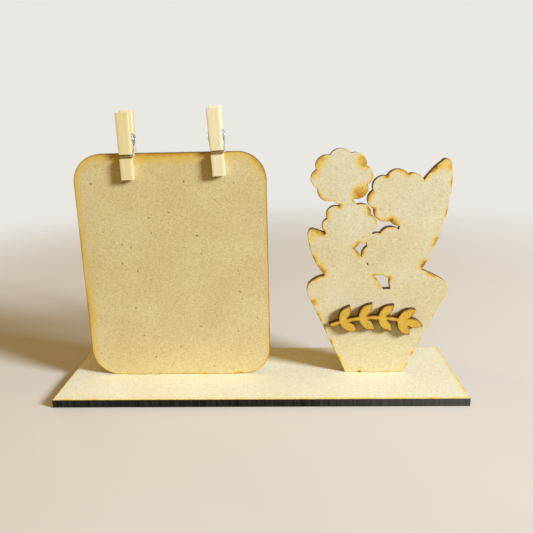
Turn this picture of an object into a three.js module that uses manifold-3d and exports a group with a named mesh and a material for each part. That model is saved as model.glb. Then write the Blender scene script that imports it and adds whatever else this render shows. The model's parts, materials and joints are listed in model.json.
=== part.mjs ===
// Memo holder cut from sheet wood. A base plate carries an upright memo board and a flower-pot panel with
// a raised leafy sprig, and two small spring pegs are clipped over the board's top edge.
// Millimetres, +Z up, the front faces -Y. The origin is the middle of the base's underside.

import * as THREE from "three";
import { mergeVertices } from "three/addons/utils/BufferGeometryUtils.js";
import Module from "manifold-3d";

// Sheet thicknesses, and the fit of a tab in its slot
const BASE_THICKNESS = 4;
const PANEL_THICKNESS = 4;
const SPRIG_THICKNESS = 3;
const SLOT_CLEARANCE = 0.15;
const TAB_SETBACK = 0.3;

// Base plate: the board and the pot stand on it in a row, and its length follows from that row
const BASE_DEPTH = 60;
const LEFT_MARGIN = 12;
const PANEL_SPACING = 18.5;
const RIGHT_MARGIN = 5.5;

// Memo board: a rounded rectangle with two tabs under it
const BOARD_WIDTH = 93;
const BOARD_HEIGHT = 114.5;
const BOARD_CORNER_RADIUS = 14;
const BOARD_MIDDLE_Y = -0.5;
const BOARD_TAB_WIDTH = 16;
const BOARD_TAB_SPACING = 40;

// Flower-pot panel: a tapered pot with one tab under it
const POT_RIM_WIDTH = 71;
const POT_FOOT_WIDTH = 30;
const POT_HEIGHT = 45.3;
const POT_MIDDLE_Y = 0.5;
const POT_TAB_WIDTH = 15;

// Flowers of the panel: places across from the pot's middle and up from its rim
const FLOWERS = [
  { across: -18, up: 56.1, width: 29.8 },
  { across: 9.4, up: 45.8, width: 30.2 },
  { across: -14.1, up: 33, width: 26.7 },
  { across: 6.7, up: 18.5, width: 29.1 },
];
const FLOWER_HEIGHT_RATIO = 0.91;
const PETAL_COUNT = 8;
const PETAL_DEPTH = 1.95;
const PETAL_TURN = THREE.MathUtils.degToRad(4.5);
const PETAL_STEPS = 6;
const STEM_WIDTH = 5;

// Tall leaves of the panel, from the same origin: an inner edge up to the tip, a rounded tip, an outer edge
const LEFT_LEAF = {
  inner: { from: [4, -1], bend: [-7.5, 16], lean: [-7.9, 23.5], to: [-31.8, 31.3] },
  tip: { corner: [-34.4, 31.6], to: [-34.4, 27.6] },
  outer: { bend: [-32.8, 15.6], to: [-27, 9] },
  root: [-19, -3.3],
};
const RIGHT_LEAF = {
  inner: { from: [6.9, -1.5], bend: [3.5, 15.9], lean: [12.2, 51], to: [29.9, 63.7] },
  tip: { corner: [32.3, 65], to: [33.6, 61.5] },
  outer: { bend: [36.6, 36.7], to: [21.7, 9.3] },
  root: [16, -3.3],
};

// Low leaves that droop over the rim's two corners: places out from the corner and up from the rim
const LEFT_DROOP = {
  side: [-2.3, -5],
  tip: { corner: [0.35, -1.8], to: [-1.25, 2.7] },
  back: { bend: [-3.3, 6.3], to: [-10.4, 7.8] },
};
const RIGHT_DROOP = {
  side: [0.05, -0.4],
  tip: { corner: [0.9, 1.3], to: [-0.6, 2.6] },
  back: { bend: [-3.4, 5.8], to: [-14, 10.1] },
};
const RIM_GAP = { left: -14, right: 11 };

// Leafy sprig on the pot's front: one openwork piece, placed down from the rim
const SPRIG_DROP = 15.6;
const SPRIG_TILT = THREE.MathUtils.degToRad(2.5);
const SPRIG_STEM_LENGTH = 39;
const SPRIG_STEM_BOW = 3.2;
const SPRIG_STEM_WIDTH = 2.2;
const SPRIG_LEAF_PAIRS = 4;
const SPRIG_LEAF_LENGTH = 10.5;
const SPRIG_LEAF_WIDTH = 5;
const SPRIG_LEAF_ANGLE = THREE.MathUtils.degToRad(42);
const SPRIG_STEM_STEPS = 16;

// Pegs: two legs with a coil spring between them, gripping the board; the rear leg's handle is the longer
const PEG_WIDTH = 6.2;
const PEG_GRIP_GAP = 0.3;
const JAW_DEPTH = 12.6;
const JAW_THICKNESS = 3;
const LEAD_IN_LENGTH = 2.4;
const LEAD_IN_DEPTH = 0.9;
const LINE_NOTCH_RADIUS = 1.1;
const LINE_NOTCH_TO_SHOULDER = 4.6;
const SHOULDER_RISE = 1;
const SHOULDER_TO_COIL = 6.4;
const THROAT_GAP = 0.7;
const HANDLE_LENGTH = 11.9;
const REAR_HANDLE_EXTRA = 1;
const HANDLE_END_THICKNESS = 3.2;
const PEGS = [
  { name: "left_peg", across: -19.4, lean: THREE.MathUtils.degToRad(-0.4), seatGap: 0.4 },
  { name: "right_peg", across: 23.3, lean: THREE.MathUtils.degToRad(-3.1), seatGap: 1.5 },
];

// Peg springs: a coil between the legs, and an arm down each side to a groove across each leg
const WIRE_DIAMETER = 0.8;
const WIRE_CLEARANCE = 0.3;
const WIRE_SINK = 0.7;
const GROOVE_FLARE = 0.4;
const WIRE_END_INSET = 0.4;
const WIRE_BEND_REACH = 0.9;
const WIRE_SIDES = 5;
const COIL_DIAMETER = 4.2;
const COIL_WHOLE_TURNS = 4;
const COIL_STEPS_PER_TURN = 8;
const ARM_DROP = 8.2;
const BEND_STEPS = 4;
const GAP_SAMPLES_PER_STEP = 4;

const CURVE_STEPS = 12;

// Sizes and places that follow from the ones above
const BASE_LENGTH = LEFT_MARGIN + BOARD_WIDTH + PANEL_SPACING + POT_RIM_WIDTH + RIGHT_MARGIN;
const TAB_DEPTH = BASE_THICKNESS - TAB_SETBACK;
const BOARD_MIDDLE_X = -BASE_LENGTH / 2 + LEFT_MARGIN + BOARD_WIDTH / 2;
const BOARD_TABS = [-BOARD_TAB_SPACING / 2, BOARD_TAB_SPACING / 2];
const POT_MIDDLE_X = BASE_LENGTH / 2 - RIGHT_MARGIN - POT_RIM_WIDTH / 2;
const POT_TABS = [0];
const JAW_FACE = PANEL_THICKNESS / 2 + PEG_GRIP_GAP;
const LEG_OUTER_FACE = JAW_FACE + JAW_THICKNESS;
const JAW_LENGTH = JAW_DEPTH + SHOULDER_TO_COIL;
const WIRE_RADIUS = WIRE_DIAMETER / 2;
const GROOVE_DEPTH = WIRE_SINK + WIRE_DIAMETER + WIRE_CLEARANCE;
const GROOVE_HEIGHT = WIRE_DIAMETER + 2 * WIRE_CLEARANCE;
const COIL_NOTCH_RADIUS = COIL_DIAMETER / 2 + WIRE_CLEARANCE;
const COIL_WIRE_RADIUS = COIL_DIAMETER / 2 - WIRE_RADIUS;

const MATERIALS = {
  base: new THREE.MeshStandardMaterial({ color: 0xf0e2b4, roughness: 0.8, metalness: 0 }),
  board: new THREE.MeshStandardMaterial({ color: 0xd6c28a, roughness: 0.8, metalness: 0 }),
  pot: new THREE.MeshStandardMaterial({ color: 0xe2d3a0, roughness: 0.8, metalness: 0 }),
  sprig: new THREE.MeshStandardMaterial({ color: 0xcda945, roughness: 0.75, metalness: 0 }),
  peg: new THREE.MeshStandardMaterial({ color: 0xead8a4, roughness: 0.65, metalness: 0 }),
  spring: new THREE.MeshStandardMaterial({ color: 0xb9bcc0, roughness: 0.3, metalness: 1 }),
};

const wasm = await Module();
wasm.setup();

// Turns a closed geometry into a solid that can be joined.
function solidOf(geometry) {
  const bare = geometry.clone();
  bare.deleteAttribute("normal");
  bare.deleteAttribute("uv");
  const merged = mergeVertices(bare);
  const mesh = new wasm.Mesh({
    numProp: 3,
    vertProperties: new Float32Array(merged.attributes.position.array),
    triVerts: new Uint32Array(merged.index.array),
  });
  return new wasm.Manifold(mesh);
}

// Turns a solid back into a geometry with flat facets.
function geometryOf(solid) {
  const mesh = solid.getMesh();
  const geometry = new THREE.BufferGeometry();
  geometry.setAttribute("position", new THREE.BufferAttribute(mesh.vertProperties, 3));
  geometry.setIndex(new THREE.BufferAttribute(mesh.triVerts, 1));
  const faceted = geometry.toNonIndexed();
  faceted.computeVertexNormals();
  return faceted;
}

function join(geometries) {
  return geometryOf(geometries.map(solidOf).reduce((sum, solid) => sum.add(solid)));
}

function cut(geometry, cutters) {
  const whole = solidOf(geometry);
  return geometryOf(cutters.map(solidOf).reduce((rest, cutter) => rest.subtract(cutter), whole));
}

function extrude(shape, thickness) {
  const options = { depth: thickness, bevelEnabled: false, curveSegments: CURVE_STEPS };
  return new THREE.ExtrudeGeometry(shape, options);
}

// An upright sheet: the shape's x runs along X and its y up Z, and the sheet is centred on y = 0.
const UPRIGHT = new THREE.Matrix4().makeBasis(
  new THREE.Vector3(1, 0, 0),
  new THREE.Vector3(0, 0, 1),
  new THREE.Vector3(0, -1, 0),
);

function uprightSheet(shape, thickness) {
  return extrude(shape, thickness).translate(0, 0, -thickness / 2).applyMatrix4(UPRIGHT);
}

function addTab(shape, middle, width, foot) {
  shape.lineTo(middle - width / 2, foot);
  shape.lineTo(middle - width / 2, foot - TAB_DEPTH);
  shape.lineTo(middle + width / 2, foot - TAB_DEPTH);
  shape.lineTo(middle + width / 2, foot);
}

// Base plate with a through slot for each tab
function slotCutter(middleX, middleY, tabWidth) {
  const length = tabWidth + 2 * SLOT_CLEARANCE;
  const width = PANEL_THICKNESS + 2 * SLOT_CLEARANCE;
  return new THREE.BoxGeometry(length, width, 2 * BASE_THICKNESS).translate(middleX, middleY, 0);
}

function basePlate() {
  const plate = new THREE.BoxGeometry(BASE_LENGTH, BASE_DEPTH, BASE_THICKNESS);
  const slots = [
    ...BOARD_TABS.map((tab) => slotCutter(BOARD_MIDDLE_X + tab, BOARD_MIDDLE_Y, BOARD_TAB_WIDTH)),
    ...POT_TABS.map((tab) => slotCutter(POT_MIDDLE_X + tab, POT_MIDDLE_Y, POT_TAB_WIDTH)),
  ];
  return cut(plate, slots);
}

// Memo board, its bottom edge at z = 0
function memoBoard() {
  const radius = BOARD_CORNER_RADIUS;
  const side = BOARD_WIDTH / 2 - radius;
  const top = BOARD_HEIGHT - radius;
  const shape = new THREE.Shape();
  shape.moveTo(-side, 0);
  for (const tab of BOARD_TABS) {
    addTab(shape, tab, BOARD_TAB_WIDTH, 0);
  }
  shape.lineTo(side, 0);
  shape.absarc(side, radius, radius, -Math.PI / 2, 0);
  shape.absarc(side, top, radius, 0, Math.PI / 2);
  shape.absarc(-side, top, radius, Math.PI / 2, Math.PI);
  shape.absarc(-side, radius, radius, Math.PI, 1.5 * Math.PI);
  return uprightSheet(shape, PANEL_THICKNESS);
}

// Flower-pot panel, in places across from the pot's middle and up from its rim
function potShape() {
  const corner = POT_RIM_WIDTH / 2;
  const left = ([out, up]) => [-corner - out, up];
  const right = ([out, up]) => [corner + out, up];
  const shape = new THREE.Shape();
  shape.moveTo(-POT_FOOT_WIDTH / 2, -POT_HEIGHT);
  for (const tab of POT_TABS) {
    addTab(shape, tab, POT_TAB_WIDTH, -POT_HEIGHT);
  }
  shape.lineTo(POT_FOOT_WIDTH / 2, -POT_HEIGHT);
  shape.lineTo(...right(RIGHT_DROOP.side));
  shape.quadraticCurveTo(...right(RIGHT_DROOP.tip.corner), ...right(RIGHT_DROOP.tip.to));
  shape.quadraticCurveTo(...right(RIGHT_DROOP.back.bend), ...right(RIGHT_DROOP.back.to));
  shape.lineTo(RIM_GAP.right, 0);
  shape.lineTo(RIM_GAP.left, 0);
  shape.lineTo(...left(LEFT_DROOP.back.to));
  shape.quadraticCurveTo(...left(LEFT_DROOP.back.bend), ...left(LEFT_DROOP.tip.to));
  shape.quadraticCurveTo(...left(LEFT_DROOP.tip.corner), ...left(LEFT_DROOP.side));
  shape.closePath();
  return shape;
}

function tallLeafShape(leaf) {
  const shape = new THREE.Shape();
  shape.moveTo(...leaf.inner.from);
  shape.bezierCurveTo(...leaf.inner.bend, ...leaf.inner.lean, ...leaf.inner.to);
  shape.quadraticCurveTo(...leaf.tip.corner, ...leaf.tip.to);
  shape.quadraticCurveTo(...leaf.outer.bend, ...leaf.outer.to);
  shape.lineTo(...leaf.root);
  shape.closePath();
  return shape;
}

// Each petal is an arc about a point on its own spoke, and neighbours meet in a notch PETAL_DEPTH deep.
function flowerShape({ across, up, width }) {
  const tipRadius = width / 2;
  const notchRadius = tipRadius - PETAL_DEPTH;
  const halfPetal = Math.PI / PETAL_COUNT;
  const notchAlong = notchRadius * Math.cos(halfPetal);
  const notchAside = notchRadius * Math.sin(halfPetal);
  const centre = (tipRadius ** 2 - notchRadius ** 2) / (2 * (tipRadius - notchAlong));
  const arcRadius = tipRadius - centre;
  const sweep = Math.atan2(notchAside, notchAlong - centre);
  const points = [];
  for (let petal = 0; petal < PETAL_COUNT; petal += 1) {
    const spoke = PETAL_TURN + 2 * halfPetal * petal;
    for (let step = 0; step < PETAL_STEPS; step += 1) {
      const turn = spoke - sweep + (2 * sweep * step) / PETAL_STEPS;
      const x = centre * Math.cos(spoke) + arcRadius * Math.cos(turn);
      const y = centre * Math.sin(spoke) + arcRadius * Math.sin(turn);
      points.push(new THREE.Vector2(across + x, up + FLOWER_HEIGHT_RATIO * y));
    }
  }
  return new THREE.Shape(points);
}

// A straight stem between the middles of two flowers
function stemShape(lower, upper) {
  const foot = new THREE.Vector2(lower.across, lower.up);
  const head = new THREE.Vector2(upper.across, upper.up);
  const along = head.clone().sub(foot).normalize();
  const aside = new THREE.Vector2(-along.y, along.x).multiplyScalar(STEM_WIDTH / 2);
  return new THREE.Shape([
    foot.clone().sub(aside),
    head.clone().sub(aside),
    head.clone().add(aside),
    foot.clone().add(aside),
  ]);
}

function flowerPot() {
  const [topFlower, , middleFlower] = FLOWERS;
  const shapes = [
    potShape(),
    tallLeafShape(LEFT_LEAF),
    tallLeafShape(RIGHT_LEAF),
    ...FLOWERS.map(flowerShape),
    stemShape(middleFlower, topFlower),
  ];
  return join(shapes.map((shape) => uprightSheet(shape, PANEL_THICKNESS)));
}

// Leafy sprig, centred on its own middle: a bowed stem with a leaf at its end and pairs along it
function sprigLeafShape(base, heading) {
  const along = new THREE.Vector2(Math.cos(heading), Math.sin(heading));
  const aside = new THREE.Vector2(-along.y, along.x).multiplyScalar(SPRIG_LEAF_WIDTH);
  const tip = base.clone().addScaledVector(along, SPRIG_LEAF_LENGTH);
  const belly = base.clone().addScaledVector(along, SPRIG_LEAF_LENGTH / 2);
  const shape = new THREE.Shape();
  shape.moveTo(base.x, base.y);
  shape.quadraticCurveTo(belly.x - aside.x, belly.y - aside.y, tip.x, tip.y);
  shape.quadraticCurveTo(belly.x + aside.x, belly.y + aside.y, base.x, base.y);
  return shape;
}

function leafySprig() {
  const endLeafReach = SPRIG_LEAF_LENGTH - SPRIG_STEM_WIDTH;
  const start = -(SPRIG_STEM_LENGTH + endLeafReach) / 2;
  const stem = new THREE.QuadraticBezierCurve(
    new THREE.Vector2(start, -SPRIG_STEM_BOW / 2),
    new THREE.Vector2(start + SPRIG_STEM_LENGTH / 2, SPRIG_STEM_BOW * 1.5),
    new THREE.Vector2(start + SPRIG_STEM_LENGTH, -SPRIG_STEM_BOW / 2),
  );
  const heading = (share) => stem.getTangent(share).angle();
  const upper = [];
  const lower = [];
  for (let step = 0; step <= SPRIG_STEM_STEPS; step += 1) {
    const share = step / SPRIG_STEM_STEPS;
    const tangent = stem.getTangent(share);
    const aside = new THREE.Vector2(-tangent.y, tangent.x).multiplyScalar(SPRIG_STEM_WIDTH / 2);
    upper.unshift(stem.getPoint(share).add(aside));
    lower.push(stem.getPoint(share).sub(aside));
  }
  const endLeafBase = stem.getPoint(1).addScaledVector(stem.getTangent(1), -SPRIG_STEM_WIDTH);
  const shapes = [new THREE.Shape([...lower, ...upper]), sprigLeafShape(endLeafBase, heading(1))];
  for (let pair = 0; pair < SPRIG_LEAF_PAIRS; pair += 1) {
    const share = (pair + 0.5) / SPRIG_LEAF_PAIRS;
    for (const side of [-1, 1]) {
      shapes.push(sprigLeafShape(stem.getPoint(share), heading(share) + side * SPRIG_LEAF_ANGLE));
    }
  }
  return join(shapes.map((shape) => uprightSheet(shape, SPRIG_THICKNESS)));
}

// Front leg of a peg, with the coil's axis at its origin. The outline is drawn outwards from the board's
// middle and up along the leg, and the leg is as wide as the peg.
const LEG_TURN = new THREE.Matrix4().makeBasis(
  new THREE.Vector3(0, -1, 0),
  new THREE.Vector3(0, 0, 1),
  new THREE.Vector3(-1, 0, 0),
);

function pegLeg(handleLength) {
  const shoulder = -SHOULDER_TO_COIL;
  const lineNotch = shoulder - LINE_NOTCH_TO_SHOULDER;
  const lipAngle = Math.acos(THROAT_GAP / COIL_NOTCH_RADIUS);
  const shape = new THREE.Shape();
  shape.moveTo(LEG_OUTER_FACE, -JAW_LENGTH);
  shape.lineTo(LEG_OUTER_FACE, -ARM_DROP - GROOVE_HEIGHT / 2 - GROOVE_FLARE);
  shape.lineTo(LEG_OUTER_FACE - GROOVE_DEPTH, -ARM_DROP - GROOVE_HEIGHT / 2);
  shape.lineTo(LEG_OUTER_FACE - GROOVE_DEPTH, -ARM_DROP + GROOVE_HEIGHT / 2);
  shape.lineTo(LEG_OUTER_FACE, -ARM_DROP + GROOVE_HEIGHT / 2 + GROOVE_FLARE);
  shape.lineTo(LEG_OUTER_FACE, handleLength);
  shape.lineTo(LEG_OUTER_FACE - HANDLE_END_THICKNESS, handleLength);
  shape.absarc(0, 0, COIL_NOTCH_RADIUS, lipAngle, -lipAngle, true);
  shape.lineTo(THROAT_GAP, shoulder + SHOULDER_RISE);
  shape.lineTo(JAW_FACE, shoulder);
  shape.absarc(JAW_FACE, lineNotch, LINE_NOTCH_RADIUS, Math.PI / 2, -Math.PI / 2, true);
  shape.lineTo(JAW_FACE, -JAW_LENGTH + LEAD_IN_LENGTH);
  shape.lineTo(JAW_FACE + LEAD_IN_DEPTH, -JAW_LENGTH);
  shape.closePath();
  return extrude(shape, PEG_WIDTH).translate(0, 0, -PEG_WIDTH / 2).applyMatrix4(LEG_TURN);
}

// Spring wire in a peg's own place: across the front leg's groove, up one side, round the coil, down the
// other side and across the rear leg's groove. The second arm is the first one turned half round.
function springPath() {
  const armSide = PEG_WIDTH / 2 + WIRE_CLEARANCE + WIRE_RADIUS;
  const grooveLine = LEG_OUTER_FACE - WIRE_SINK - WIRE_RADIUS;
  const crossEnd = new THREE.Vector3(-PEG_WIDTH / 2 + WIRE_END_INSET, -grooveLine, -ARM_DROP);
  const elbow = new THREE.Vector3(armSide, -grooveLine, -ARM_DROP);
  const armReach = Math.hypot(grooveLine, ARM_DROP);
  const leaveAngle = Math.atan2(-ARM_DROP, -grooveLine) + Math.acos(COIL_WIRE_RADIUS / armReach);
  const coilPoint = (x, turn) =>
    new THREE.Vector3(x, COIL_WIRE_RADIUS * Math.cos(turn), COIL_WIRE_RADIUS * Math.sin(turn));
  const armDirection = coilPoint(armSide, leaveAngle).sub(elbow).normalize();
  const bend = new THREE.QuadraticBezierCurve3(
    elbow.clone().setX(armSide - WIRE_BEND_REACH),
    elbow,
    elbow.clone().addScaledVector(armDirection, WIRE_BEND_REACH),
  );
  const frontArm = [crossEnd, ...bend.getPoints(BEND_STEPS)];
  const rearArm = frontArm.map((point) => new THREE.Vector3(-point.x, -point.y, point.z)).reverse();
  const sweep = Math.PI - 2 * leaveAngle + 2 * Math.PI * COIL_WHOLE_TURNS;
  const steps = Math.round((sweep / (2 * Math.PI)) * COIL_STEPS_PER_TURN);
  const coil = [];
  for (let step = 0; step <= steps; step += 1) {
    const share = step / steps;
    coil.push(coilPoint(armSide * (1 - 2 * share), leaveAngle + sweep * share));
  }
  return [...frontArm, ...coil, ...rearArm];
}

// A closed round wire along a row of points, its section carried along without twisting
function wireAlong(path) {
  const tangents = path.map((point, index) => {
    const before = path[Math.max(index - 1, 0)];
    const after = path[Math.min(index + 1, path.length - 1)];
    return after.clone().sub(before).normalize();
  });
  const normal = new THREE.Vector3(0, 0, 1).cross(tangents[0]).normalize();
  const positions = [];
  path.forEach((point, index) => {
    if (index > 0) {
      const turn = new THREE.Quaternion().setFromUnitVectors(tangents[index - 1], tangents[index]);
      normal.applyQuaternion(turn).normalize();
    }
    const binormal = tangents[index].clone().cross(normal);
    for (let side = 0; side < WIRE_SIDES; side += 1) {
      const angle = (2 * Math.PI * side) / WIRE_SIDES;
      const corner = point.clone();
      corner.addScaledVector(normal, WIRE_RADIUS * Math.cos(angle));
      corner.addScaledVector(binormal, WIRE_RADIUS * Math.sin(angle));
      positions.push(corner.x, corner.y, corner.z);
    }
  });
  const triangles = [];
  for (let ring = 0; ring < path.length - 1; ring += 1) {
    for (let side = 0; side < WIRE_SIDES; side += 1) {
      const next = (side + 1) % WIRE_SIDES;
      const near = ring * WIRE_SIDES;
      const far = near + WIRE_SIDES;
      triangles.push(near + side, near + next, far + next);
      triangles.push(near + side, far + next, far + side);
    }
  }
  const lastRing = (path.length - 1) * WIRE_SIDES;
  for (let side = 1; side < WIRE_SIDES - 1; side += 1) {
    triangles.push(0, side + 1, side);
    triangles.push(lastRing, lastRing + side, lastRing + side + 1);
  }
  const geometry = new THREE.BufferGeometry();
  geometry.setAttribute("position", new THREE.Float32BufferAttribute(positions, 3));
  geometry.setIndex(triangles);
  geometry.computeVertexNormals();
  return geometry;
}

// Least gap between stretches of the wire that lie more than half a turn apart along it
function leastGap(path) {
  const samples = [];
  let run = 0;
  for (let index = 1; index < path.length; index += 1) {
    for (let sample = 0; sample < GAP_SAMPLES_PER_STEP; sample += 1) {
      const point = path[index - 1].clone().lerp(path[index], sample / GAP_SAMPLES_PER_STEP);
      run += samples.length ? point.distanceTo(samples[samples.length - 1].point) : 0;
      samples.push({ point, run });
    }
  }
  const apart = Math.PI * COIL_WIRE_RADIUS;
  let least = Infinity;
  for (const one of samples) {
    for (const other of samples) {
      if (other.run - one.run > apart) {
        least = Math.min(least, one.point.distanceTo(other.point));
      }
    }
  }
  return least - WIRE_DIAMETER;
}

function addPiece(parent, name, geometry, material) {
  const mesh = new THREE.Mesh(geometry, material);
  mesh.name = name;
  parent.add(mesh);
  return mesh;
}

function pegAssembly({ name, across, lean, seatGap }) {
  const peg = new THREE.Group();
  const jawTip = BASE_THICKNESS + BOARD_HEIGHT - JAW_DEPTH + seatGap;
  peg.position.set(BOARD_MIDDLE_X + across, BOARD_MIDDLE_Y, jawTip + JAW_LENGTH);
  peg.rotation.y = lean;
  addPiece(peg, `${name}_front_leg`, pegLeg(HANDLE_LENGTH), MATERIALS.peg);
  const rearShape = pegLeg(HANDLE_LENGTH + REAR_HANDLE_EXTRA);
  const rearLeg = addPiece(peg, `${name}_rear_leg`, rearShape, MATERIALS.peg);
  rearLeg.rotation.z = Math.PI;
  const path = springPath();
  addPiece(peg, `${name}_spring`, wireAlong(path), MATERIALS.spring);
  console.log(`${name}_spring: least gap to itself ${leastGap(path).toFixed(2)} mm`);
  return peg;
}

const memoHolder = new THREE.Group();
const base = addPiece(memoHolder, "base_plate", basePlate(), MATERIALS.base);
base.position.z = BASE_THICKNESS / 2;
const board = addPiece(memoHolder, "memo_board", memoBoard(), MATERIALS.board);
board.position.set(BOARD_MIDDLE_X, BOARD_MIDDLE_Y, BASE_THICKNESS);
const pot = addPiece(memoHolder, "flower_pot", flowerPot(), MATERIALS.pot);
pot.position.set(POT_MIDDLE_X, POT_MIDDLE_Y, BASE_THICKNESS + POT_HEIGHT);
const sprig = addPiece(memoHolder, "pot_sprig", leafySprig(), MATERIALS.sprig);
sprig.position.copy(pot.position);
sprig.position.y -= (PANEL_THICKNESS + SPRIG_THICKNESS) / 2;
sprig.position.z -= SPRIG_DROP;
sprig.rotation.y = -SPRIG_TILT;
for (const peg of PEGS) {
  memoHolder.add(pegAssembly(peg));
}

export default memoHolder;
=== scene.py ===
"""Dresses the memo holder: four laser-cut fibreboard sheets and two birch pegs with wire springs.

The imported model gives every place. Each sheet is cut again along its own outline with eased
arrises, a scorched wall and tinted faces, and each spring is drawn as round wire along its path.
"""

import json
import logging
import math
from dataclasses import dataclass
from enum import Enum
from functools import cached_property

import bmesh
import bpy
import numpy as np
from mathutils import Matrix, Vector, geometry, kdtree, noise


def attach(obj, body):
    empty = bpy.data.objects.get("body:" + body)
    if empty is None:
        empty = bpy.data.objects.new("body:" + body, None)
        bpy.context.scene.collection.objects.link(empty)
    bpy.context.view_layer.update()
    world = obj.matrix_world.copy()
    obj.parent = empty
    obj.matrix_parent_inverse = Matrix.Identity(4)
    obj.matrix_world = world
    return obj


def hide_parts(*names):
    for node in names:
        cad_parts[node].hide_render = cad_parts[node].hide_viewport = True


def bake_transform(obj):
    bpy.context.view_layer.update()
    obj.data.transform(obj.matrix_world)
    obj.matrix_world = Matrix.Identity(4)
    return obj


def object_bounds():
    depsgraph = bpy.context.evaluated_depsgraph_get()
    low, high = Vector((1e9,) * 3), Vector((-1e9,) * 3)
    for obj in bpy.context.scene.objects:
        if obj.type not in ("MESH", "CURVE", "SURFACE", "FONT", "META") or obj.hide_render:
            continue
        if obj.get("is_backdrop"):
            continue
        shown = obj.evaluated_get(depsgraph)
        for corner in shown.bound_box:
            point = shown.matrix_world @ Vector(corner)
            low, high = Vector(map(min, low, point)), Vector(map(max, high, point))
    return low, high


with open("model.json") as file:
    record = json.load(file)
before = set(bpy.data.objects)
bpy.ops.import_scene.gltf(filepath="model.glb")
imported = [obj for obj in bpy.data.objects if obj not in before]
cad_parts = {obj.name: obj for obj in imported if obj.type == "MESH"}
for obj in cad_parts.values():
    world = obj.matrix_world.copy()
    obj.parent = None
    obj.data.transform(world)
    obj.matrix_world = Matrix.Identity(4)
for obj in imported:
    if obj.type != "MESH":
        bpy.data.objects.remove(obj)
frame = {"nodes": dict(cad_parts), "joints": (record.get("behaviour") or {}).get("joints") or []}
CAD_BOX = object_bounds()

Material, Mesh, Piece = bpy.types.Material, bpy.types.Mesh, bpy.types.Object
Node, Socket, Tree = bpy.types.Node, bpy.types.NodeSocket, bpy.types.NodeTree
# What an input is linked to: a socket, or a node for its first output.
Source = Node | Socket
# A pattern, its values where a tone begins and is full, the most that the tone covers, and the tone.
Layer = tuple[Source, float, float, float, str]
Triple = tuple[float, float, float]

LOG = logging.getLogger("memo_holder")
MM = 0.001
PHOTO_SIDE_PX = 533
TINY = 1e-6

# Sockets of Blender's Mix node when it mixes colours.
MIX_FACTOR, MIX_A, MIX_B, MIX_RESULT = 0, 6, 7, 2
# Where most values of a noise texture lie.
NOISE_SPAN = (0.3, 0.7)


def linear(code: str) -> tuple[float, float, float, float]:
    """Turns an sRGB hex colour into linear light.

    Args:
        code: The colour as "#rrggbb".

    Returns:
        Linear red, green and blue, and an alpha of 1.
    """
    channels = [int(code[at:at + 2], 16) / 255 for at in (1, 3, 5)]
    red, green, blue = (
        c / 12.92 if c <= 0.04045 else ((c + 0.055) / 1.055) ** 2.4 for c in channels
    )
    return red, green, blue, 1.0


def per_mm(size_mm: float) -> float:
    """Gives the texture scale at which one feature is about size_mm wide."""
    return 1.0 / (size_mm * MM)


def set_inputs(tree: Tree, node: Node, sockets: dict | tuple) -> None:
    """Sets a node's inputs, or links them where the value is a source.

    Args:
        tree: The node's tree.
        node: The node.
        sockets: The values by input name or number, or in the inputs' order.
    """
    for key, value in sockets.items() if isinstance(sockets, dict) else enumerate(sockets):
        if isinstance(value, Source):
            output = value.outputs[0] if isinstance(value, Node) else value
            tree.links.new(output, node.inputs[key])
        else:
            node.inputs[key].default_value = value


def add_node(tree: Tree, kind: str, sockets: dict | tuple = (), **settings: object) -> Node:
    """Adds a node with its settings, and links or sets its inputs.

    Args:
        tree: The node tree that takes the node.
        kind: Blender's name of the node's type.
        sockets: Its inputs, as set_inputs takes them.
        **settings: Properties of the node itself.

    Returns:
        The new node.
    """
    node = tree.nodes.new(kind)
    for name, value in settings.items():
        setattr(node, name, value)
    set_inputs(tree, node, sockets)
    return node


def layered(tree: Tree, colour: Socket | tuple, layers: tuple[Layer, ...]) -> Socket:
    """Lays tones over a colour, each as far as a pattern says.

    Args:
        tree: The material's node tree.
        colour: The colour below, as a socket or in linear light.
        layers: The layers, the lowest first.

    Returns:
        The colour with all its layers.
    """
    for pattern, begins, full, most, tone in layers:
        share = add_node(tree, "ShaderNodeMapRange", (pattern, begins, full, 0.0, most))
        colour = add_node(tree, "ShaderNodeMix", {
            MIX_FACTOR: share, MIX_A: colour, MIX_B: linear(tone),
        }, data_type="RGBA").outputs[MIX_RESULT]
    return colour


def seen_plainly(tree: Tree) -> Node:
    """Tells what is seen, straight or in metal or glass, from what only lights the object.

    Args:
        tree: The node tree of the floor or the world.

    Returns:
        A node that gives 1 where it is seen, and otherwise 0.
    """
    rays = add_node(tree, "ShaderNodeLightPath").outputs
    seen = rays["Is Camera Ray"]
    for kind in ("Is Glossy Ray", "Is Transmission Ray"):
        seen = add_node(tree, "ShaderNodeMath", (seen, rays[kind]), operation="MAXIMUM")
    return seen


def start_finish(name: str) -> tuple[Material, Tree, Node]:
    """Starts a material.

    Args:
        name: The material's name.

    Returns:
        The material, its node tree and its shader.
    """
    material = bpy.data.materials.new(name)
    material.use_nodes = True
    return material, material.node_tree, material.node_tree.nodes["Principled BSDF"]


def add_piece(name: str, mesh: Mesh) -> Piece:
    """Puts a mesh in the scene as an object at the origin.

    Args:
        name: The object's name.
        mesh: Its mesh, already in place.

    Returns:
        The object.
    """
    piece = bpy.data.objects.new(name, mesh)
    bpy.context.scene.collection.objects.link(piece)
    return piece


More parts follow.
